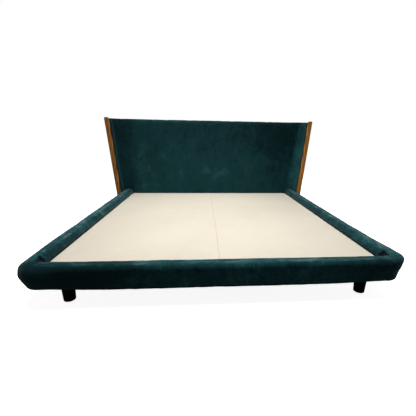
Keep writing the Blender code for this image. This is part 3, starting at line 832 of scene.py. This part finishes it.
def front_shape(place, normal):
    """The right front corner is squarer than the rest of the foot end, and the left one rounder and
    fuller."""
    shoulder = max(0.0, 2.0 * math.hypot(normal.x, normal.y) * normal.z)
    at_foot = 1.0 - smooth(place.y, FOOT_Y, FOOT_Y + 0.30)
    at_left = smooth(-place.x, 0.80, 0.98)
    at_right = smooth(place.x, 0.85, 1.03)
    squared = SQUARED * (1.0 - 1.4 * at_left + 0.4 * at_right)
    belly = BELLY * (at_left - 1.5 * at_right)
    full = math.exp(-((place.z - BELLY_Z) / BELLY_HEIGHT) ** 2)
    return at_foot * (squared * shoulder ** 1.5 + belly * full)


def foot_fullness(place):
    """The foot rail is fuller low down along its middle."""
    low = 1.0 - smooth(place.z, RAIL_BOTTOM, BULGE_Z)
    return FOOT_FULLNESS * low * (1.0 - smooth(abs(place.x), 0.60, 1.02))


def deck_groove(place, corner):
    """The velvet is drawn back where it goes down beside the deck, except near the corners."""
    return DECK_GROOVE * (1.0 - smooth(place.z, 0.190, 0.215)) * smooth(corner, 0.06, 0.10)


def corner_gathers(place, corner, up):
    """The seam of a mitre is sunk, and the velvet beside it is gathered round the corner."""
    seam = beside_mitre(place)
    around = math.exp(-((corner - 0.055) / 0.05) ** 2)
    gathers = math.cos(seam * GATHER_PITCH + 6.0 * lump(place, 16.0, 3))
    gathered = GATHER * gathers * around * math.exp(-seam / GATHER_RUN) * up
    return gathered - MITRE_GROOVE * math.exp(-(seam / MITRE_GROOVE_WIDTH) ** 2)


def rail_dressing(seed):
    """How the velvet of a rail departs from its even section."""
    def depth(place, normal):
        up = max(0.0, normal.z)
        outwards = max(abs(place.x) - RECESS_X, FOOT_Y - place.y)
        corner = from_corner(place)
        move = rail_unevenness(place, seed)
        move += CREST_CLIMB * up * (smooth(place.y, -0.9, 0.9) - 0.45)
        if outwards > OUTSIDE_U:
            move += front_shape(place, normal)
        if outwards > OUTSIDE_U and place.y < FOOT_Y:
            move += foot_fullness(place)
        if outwards < GROOVE_U:
            move -= deck_groove(place, corner)
        if corner < GATHERED_REACH:
            move += corner_gathers(place, corner, up)
        return move
    return depth


def along_mitre(place, normal):
    """A direction that keeps a rail's mitred end in its plane."""
    across = Vector((math.copysign(1.0, place.x), 1.0, 0.0)).normalized()
    share = 1.0 - smooth(beside_mitre(place), 0.002, 0.015)
    return (normal - across * normal.dot(across) * share).normalized()


POCKET_FLOOR = CORE_TOP + 0.005


def sink_corner(obj):
    """Draws the velvet into the pockets at the inner front corners, clear of the boards."""
    points = points_of(obj.data)
    for point in points:
        across, back = abs(point[0]) - RECESS_X, point[1] - FOOT_Y
        deep = smooth(back, *POCKET_FRONT) * smooth(back, *POCKET_BACK)
        deep *= smooth(across, *POCKET_INSIDE) * smooth(across - POCKET_CLIMB * back, *POCKET_EDGE)
        above_deck = smooth(point[2], DECK_HIGH.z, DECK_HIGH.z + 0.012)
        point[2] -= deep * max(0.0, point[2] - POCKET_FLOOR)
        point[0] += math.copysign(deep * above_deck * max(0.0, POCKET_WALL - across), point[0])
    set_points(obj.data, points)


# --- headboard: one velvet surface over panel, coves and wings ------------------------------

HEAD_SPACING = 0.016
CAP_ROUND = 0.014
CAP_EDGE = 0.004
NOTCH = (CORE_LOW.x - 0.010, CORE_HIGH.x + 0.006)
NOTCH_TOP = CORE_HIGH.z + 0.0035

# Steps of the headboard's rings: round the cove in plan, then up the front, over the rounded edge,
# across the cap, under the cap's lip, down the back and along the bottom.
COVE_STEPS = 14
FRONT_STEPS = 56
EDGE_STEPS = 4
CAP_STEPS = 6
LIP_STEPS = 5
BACK_STEPS = 44
UNDER_STEPS = 3


def head_columns():
    """Places along the headboard's plan, from its middle to the right wing's front edge. Each is
    (front, inner back, far edge of the cap), as x and y at the bottom."""
    start_x = WING_X - COVE_RADIUS
    columns = []
    steps = round(start_x / HEAD_SPACING)
    for step in range(steps):
        x = start_x * step / steps
        columns.append(((x, FACE_Y), (x, PANEL_BACK), (x, FRAME_BACK)))
    board_x = BOARD_LOW.x - GAP
    for turn in range(COVE_STEPS + 1):
        share = turn / COVE_STEPS
        angle = math.radians(90) * share
        front = (start_x + COVE_RADIUS * math.sin(angle), FACE_Y - COVE_RADIUS * (1 - math.cos(angle)))
        back = corner_walk((start_x, PANEL_BACK), (board_x, PANEL_BACK), (board_x, front[1]), share)
        far = corner_walk((start_x, FRAME_BACK), (WING_OUT_X, FRAME_BACK),
                          (WING_OUT_X, FACE_Y - COVE_RADIUS), share)
        columns.append((front, back, far))
    end_y = TRIM_HIGH.y + GAP
    run = FACE_Y - COVE_RADIUS - end_y
    steps = round(run / HEAD_SPACING)
    for step in range(1, steps + 1):
        y = FACE_Y - COVE_RADIUS - run * step / steps
        columns.append(((WING_X, y), (board_x, y), (WING_OUT_X, y)))
    return columns


def corner_walk(start, corner, end, share):
    """A point on the two straight legs from start through corner to end."""
    first = math.dist(start, corner)
    second = math.dist(corner, end)
    gone = share * (first + second)
    if gone <= first:
        return tuple(a + (b - a) * gone / first for a, b in zip(start, corner))
    return tuple(a + (b - a) * (gone - first) / second for a, b in zip(corner, end))


def head_bottom(x):
    """The lower edge of the velvet: above the ledger in the middle, and notched round a rail's core."""
    if x < NOTCH[0]:
        return PANEL_BOTTOM
    return NOTCH_TOP if x < NOTCH[1] else WING_BOTTOM


def head_ring(column):
    """A closed ring: up the front, over the cap, and down behind against the boards."""
    front, back, far = (Vector(place) for place in column)
    bottom = head_bottom(front.x)
    across = (far - front).normalized()
    cap = (far - front).length - CAP_EDGE - CAP_ROUND
    rise = HEAD_TOP - CAP_ROUND - bottom
    shelf = FRAME_TOP + GAP
    ring = [(front, bottom + rise * step / FRONT_STEPS) for step in range(FRONT_STEPS)]
    for step in range(EDGE_STEPS + 1):
        angle = math.radians(90) * step / EDGE_STEPS
        inset = CAP_ROUND * (1 - math.cos(angle))
        ring.append((front + across * inset, HEAD_TOP - CAP_ROUND * (1 - math.sin(angle))))
    for step in range(1, CAP_STEPS + 1):
        ring.append((front + across * (CAP_ROUND + cap * step / CAP_STEPS), HEAD_TOP))
    ring.append((far, HEAD_TOP - CAP_EDGE))
    ring.append((far, shelf))
    ring += [(far + (back - far) * step / LIP_STEPS, shelf) for step in range(1, LIP_STEPS + 1)]
    ring += [
        (back, shelf - (shelf - bottom) * step / BACK_STEPS) for step in range(1, BACK_STEPS + 1)
    ]
    ring += [(back + (front - back) * step / UNDER_STEPS, bottom) for step in range(1, UNDER_STEPS)]
    return [(place.x, place.y, z) for place, z in ring]


def leaned(x, z):
    """An x carried outwards with the wings' outward slope, which grows with height and from the middle
    out.
    """
    return x + math.copysign(LEAN * (z - WING_BOTTOM), x) * min(1.0, abs(x) / WING_X)


def make_headboard():
    right = [head_ring(column) for column in head_columns()]
    left = [[(-x, y, z) for x, y, z in ring] for ring in reversed(right[1:])]
    rings = [[(leaned(x, z), y, z) for x, y, z in ring] for ring in left + right]
    return closed_form("headboard_velvet", rings, crisp_ends=True)


HEAD_HOLD = 0.14
HEAD_CROWN = 0.006
TOP_HOLD = 0.003
LOW_HOLD = 0.012
FAR_HOLD = 0.006
TRIM_HOLD = 0.012
TRIM_TUCK = 0.007


def head_firmness(place):
    """The back, the lower edge and the edges beside the trims are stapled."""
    behind = place.y > PANEL_BACK - STAPLE_REACH and place.z < FRAME_TOP + TOP_HOLD
    low = place.z < PANEL_BOTTOM + LOW_HOLD
    front_edge = place.y < TRIM_HIGH.y + TRIM_HOLD
    far_edge = place.y > FRAME_BACK - FAR_HOLD
    return 1.0 if behind or low or front_edge or far_edge else HEAD_HOLD


def head_dressing(place, normal):
    """A soft crown on the panel, gentle hollows, a calmer top, and velvet drawn in by the trims."""
    face = max(0.0, -normal.y)
    if place.y < TRIM_HIGH.y + TRIM_HOLD and abs(normal.x) > 0.5 and abs(place.x) < WING_OUT_X:
        return -TRIM_TUCK * (1.0 - smooth(place.y, TRIM_HIGH.y, TRIM_HIGH.y + TRIM_HOLD))
    move = 0.0030 * lump(place, 3.2, 21) + 0.0016 * lump(place, 8.0, 22) + 0.0006 * lump(place, 26.0, 23)
    side = 1.0 - smooth(abs(place.x), 0.55, 0.98)
    rise = smooth(place.z, 0.16, 0.45) * (1.0 - smooth(place.z, 0.80, 1.07))
    move += HEAD_CROWN * face * side * rise
    top = max(0.0, normal.z)
    return move * (1.0 - 0.8 * top) + 0.0007 * top * lump(place, 14.0, 24)


# --- thin padded panels: back cover and the wings' outsides ---------------------------------

SHARP_ANGLE = 0.5


def wrapped_slab(name, low, high, spacing, edge):
    """A slab between two corners, its skin in even cells, with all its edges rounded."""
    low, high = Vector(low), Vector(high)
    bm = bmesh.new()
    bmesh.ops.create_cube(bm, size=1.0)
    bmesh.ops.scale(bm, vec=high - low, verts=bm.verts)
    bmesh.ops.translate(bm, vec=(low + high) / 2, verts=bm.verts)
    for axis in range(3):
        cuts = round((high[axis] - low[axis]) / spacing) - 1
        for cut in range(1, cuts + 1):
            place = Vector((0, 0, 0))
            place[axis] = low[axis] + (high[axis] - low[axis]) * cut / (cuts + 1)
            normal = Vector((0, 0, 0))
            normal[axis] = 1
            geometry = bm.verts[:] + bm.edges[:] + bm.faces[:]
            bmesh.ops.bisect_plane(bm, geom=geometry, plane_co=place, plane_no=normal)
    sharp = [edge for edge in bm.edges if edge.calc_face_angle() > SHARP_ANGLE]
    bmesh.ops.bevel(bm, geom=sharp, offset=edge, segments=3, affect="EDGES", profile=0.5,
                    clamp_overlap=True)
    bmesh.ops.recalc_face_normals(bm, faces=bm.faces)
    return object_from(bm, name)


def lean_piece(obj):
    points = points_of(obj.data)
    points[:, 0] = [leaned(x, z) for x, _, z in points]
    set_points(obj.data, points)


def make_back_cover():
    obj = wrapped_slab(
        "back_velvet", (-WING_OUT_X, BACK_LOW.y, BACK_LOW.z), (WING_OUT_X, BACK_HIGH.y, BACK_HIGH.z),
        spacing=0.03, edge=0.0045,
    )
    lean_piece(obj)
    return obj


def make_wing_outside(side):
    low_x, high_x = sorted((side * WING_OUTSIDE_X, side * WING_OUT_X))
    obj = wrapped_slab(
        "wing_velvet_" + SIDES[side],
        (low_x, OUTSIDE_LOW.y, OUTSIDE_LOW.z), (high_x, OUTSIDE_HIGH.y, OUTSIDE_HIGH.z),
        spacing=0.02, edge=0.004,
    )
    lean_piece(obj)
    return obj


def flat_dressing(seed, height):
    """Slight unevenness of a thin padded panel."""
    def depth(place, normal):
        return height * (lump(place, 4.0, seed) + 0.6 * lump(place, 11.0, seed + 1))
    return depth


# --- deck -----------------------------------------------------------------------------------

DECK_ROUND = 0.0035
SEAM_ROUND = 0.0012
UNDER_ROUND = 0.002
DECK_SPACING = 0.02


def deck_rows():
    """Places along a deck panel (y, how far its top is rounded down there)."""
    turns = [math.radians(90) * step / 4 for step in range(5)]
    ends = [(DECK_ROUND * (1 - math.cos(turn)), DECK_ROUND * (1 - math.sin(turn))) for turn in turns]
    length = DECK_HIGH.y - DECK_LOW.y
    run = length - 2 * DECK_ROUND
    steps = round(length / DECK_SPACING)
    rows = [(DECK_LOW.y + along, drop) for along, drop in ends]
    rows += [(DECK_LOW.y + DECK_ROUND + run * step / steps, 0.0) for step in range(1, steps)]
    rows += [(DECK_HIGH.y - along, drop) for along, drop in reversed(ends)]
    return rows


def make_deck(side):
    """A thin panel wrapped in cloth: tight at the seam, and rounded at its other edges."""
    inner, outer, bottom, top = GAP, DECK_HIGH.x, DECK_LOW.z, DECK_HIGH.z
    section = walked([
        (inner, bottom, UNDER_ROUND),
        (outer, bottom, UNDER_ROUND),
        (outer, top, DECK_ROUND),
        (inner, top, SEAM_ROUND),
    ], DECK_SPACING)
    rings = [[(side * x, y, min(z, top - drop)) for x, z in section] for y, drop in deck_rows()]
    return closed_form("deck_cloth_" + SIDES[side], rings)


def deck_dressing(side):
    """Slight unevenness of the cloth's top."""
    def depth(place, normal):
        sag = 0.0006 * lump(place, 3.0, 41 + side) + 0.0003 * lump(place, 12.0, 43 + side)
        return sag if normal.z > 0.5 else 0.0
    return depth


# --- putting it together --------------------------------------------------------------------


def finish_cad_nodes(materials):
    """Each CAD node that stays takes its material by the slot that it has in the frame, and wood
    takes the one whose grain runs along the node's longest side."""
    for name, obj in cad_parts.items():
        for place in obj.material_slots:
            finish = materials.get(place.material.name)
            if isinstance(finish, dict):
                low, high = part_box(name)
                sides = [high[axis] - low[axis] for axis in range(3)]
                finish = finish["XYZ"[sides.index(max(sides))]]
            if finish:
                place.material = finish


def make_relaxed_velvet():
    """The velvet of the foot rail, of the side rails by side, and of the headboard."""
    foot = make_foot_rail()
    rails = {side: make_side_rail(side) for side in SIDES}
    head = make_headboard()
    for obj in (foot, *rails.values()):
        hold(obj, rail_firmness)
        add_cloth(obj, slack=0.004, pressure=4.0)
    hold(head, head_firmness)
    add_cloth(head, slack=0.008, pressure=4.0)
    relax({foot: 0.003, rails[-1]: 0.003, rails[1]: 0.003, head: 0.006})
    for number, obj in enumerate((foot, *rails.values())):
        subdivide(obj)
        sculpt(obj, rail_dressing(10 * number + 1), along_mitre)
        sink_corner(obj)
        fill_ends_again(obj)
    subdivide(head)
    sculpt(head, head_dressing)
    fill_ends_again(head)
    return foot, rails, head


def make_soft_pieces(materials):
    panel = materials["velvet_panel"]
    foot, rails, head = make_relaxed_velvet()
    finish_piece(foot, materials["velvet_foot"], "bed_frame", ["foot_rail_pad"])
    for side, name in SIDES.items():
        finish_piece(rails[side], materials["velvet_rail"], "bed_frame",
                     ["side_rail_pad_" + name])
        outside = make_wing_outside(side)
        sculpt(outside, flat_dressing(60 + side, 0.0010))
        finish_piece(outside, panel, "bed_frame", ["wing_outside_" + name])
        deck = make_deck(side)
        sculpt(deck, deck_dressing(side))
        finish_piece(deck, materials["deck_cloth"], name + "_deck",
                     ["deck_panel_" + name])
    finish_piece(head, panel, "bed_frame",
                 ["headboard_pad", "wing_pad_left", "wing_pad_right"])
    back = make_back_cover()
    sculpt(back, flat_dressing(71, 0.0012))
    finish_piece(back, panel, "bed_frame", ["headboard_back_cover"])


def main():
    make_camera()
    make_studio()
    materials = make_materials()
    finish_cad_nodes(materials)
    make_soft_pieces(materials)


main()
